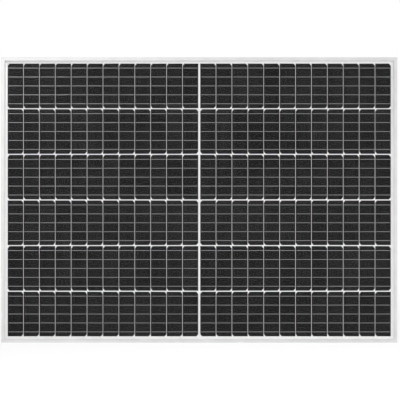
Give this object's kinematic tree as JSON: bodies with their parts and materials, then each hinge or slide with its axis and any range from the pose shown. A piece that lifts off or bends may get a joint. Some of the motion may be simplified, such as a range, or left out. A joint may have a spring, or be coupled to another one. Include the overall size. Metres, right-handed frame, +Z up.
{
  "type": "solar panel",
  "caption": "Framed photovoltaic module: glass laminate of cut cells with ribbons, anodised frame with mounting slots, and split junction boxes with lids and cable glands.",
  "frame": {"origin": "centre of the outer mounting-slot pattern, on the rear face of the frame", "axes": "+X along the long edge, to the right seen from the front; +Y out of the rear, so the glass faces -Y; +Z up, along the short edge"},
  "size_m": [1.391, 0.035, 1.002],
  "materials": {
    "solar_glass": "low-iron tempered glass, lightly textured",
    "encapsulant": "clear laminated film",
    "silicon_cell": "monocrystalline silicon with a dark anti-reflective coat",
    "tinned_ribbon": "tin-plated copper",
    "backsheet": "white laminated polymer film",
    "anodised_frame": "silver anodised, satin",
    "key_aluminium": "extruded, mill finish",
    "seal_silicone": "cured silicone sealant",
    "adhesive_silicone": "cured white silicone",
    "box_plastic": "moulded black polymer with fine texture",
    "gasket_rubber": "soft silicone rubber",
    "terminal_copper": "tin-free copper, satin",
    "diode_epoxy": "moulded black epoxy",
    "gland_rubber": "soft black rubber",
    "nut_plastic": "moulded black polymer"
  },
  "bodies": {
    "panel": {"front_glass": "solar_glass", "front_encapsulant": "encapsulant", "rear_encapsulant": "encapsulant", "backsheet": "backsheet", "frame_seal": "seal_silicone", "box_adhesive": "adhesive_silicone", "cell_string_left_1": "silicon_cell", "cell_string_left_2": "silicon_cell", "cell_string_left_3": "silicon_cell", "cell_string_left_4": "silicon_cell", "cell_string_left_5": "silicon_cell", "cell_string_left_6": "silicon_cell", "cell_string_right_1": "silicon_cell", "cell_string_right_2": "silicon_cell", "cell_string_right_3": "silicon_cell", "cell_string_right_4": "silicon_cell", "cell_string_right_5": "silicon_cell", "cell_string_right_6": "silicon_cell", "tabbing_ribbons_1": "tinned_ribbon", "tabbing_ribbons_2": "tinned_ribbon", "tabbing_ribbons_3": "tinned_ribbon", "tabbing_ribbons_4": "tinned_ribbon", "tabbing_ribbons_5": "tinned_ribbon", "tabbing_ribbons_6": "tinned_ribbon", "left_bus_ribbons": "tinned_ribbon", "centre_bus_ribbons": "tinned_ribbon", "right_bus_ribbons": "tinned_ribbon", "lower_rail": "anodised_frame", "upper_rail": "anodised_frame", "left_rail": "anodised_frame", "right_rail": "anodised_frame", "lower_left_corner_key": "key_aluminium", "lower_right_corner_key": "key_aluminium", "upper_left_corner_key": "key_aluminium", "upper_right_corner_key": "key_aluminium", "upper_box": "box_plastic", "upper_terminals": "terminal_copper", "upper_bypass_diode": "diode_epoxy", "middle_box": "box_plastic", "middle_terminals": "terminal_copper", "middle_bypass_diode": "diode_epoxy", "lower_box": "box_plastic", "lower_terminals": "terminal_copper", "lower_bypass_diode": "diode_epoxy", "upper_gland_seal": "gland_rubber", "lower_gland_seal": "gland_rubber"},
    "upper_lid": {"upper_box_lid": "box_plastic", "upper_lid_gasket": "gasket_rubber"},
    "middle_lid": {"middle_box_lid": "box_plastic", "middle_lid_gasket": "gasket_rubber"},
    "lower_lid": {"lower_box_lid": "box_plastic", "lower_lid_gasket": "gasket_rubber"},
    "upper_nut": {"upper_gland_nut": "nut_plastic"},
    "lower_nut": {"lower_gland_nut": "nut_plastic"}
  },
  "joints": [
    {"name": "upper_lid_pull", "type": "slide", "parent": "panel", "child": "upper_lid", "axis": [0, 1, 0], "range_m": [0, 0.04]},
    {"name": "middle_lid_pull", "type": "slide", "parent": "panel", "child": "middle_lid", "axis": [0, 1, 0], "range_m": [0, 0.04]},
    {"name": "lower_lid_pull", "type": "slide", "parent": "panel", "child": "lower_lid", "axis": [0, 1, 0], "range_m": [0, 0.04]},
    {"name": "upper_nut_turn", "type": "hinge", "parent": "panel", "child": "upper_nut", "pos_m": [0, -0.02025, 0.3737], "axis": [0, 0, 1], "continuous": true},
    {"name": "lower_nut_turn", "type": "hinge", "parent": "panel", "child": "lower_nut", "pos_m": [0, -0.02025, -0.3737], "axis": [0, 0, -1], "continuous": true}
  ]
}
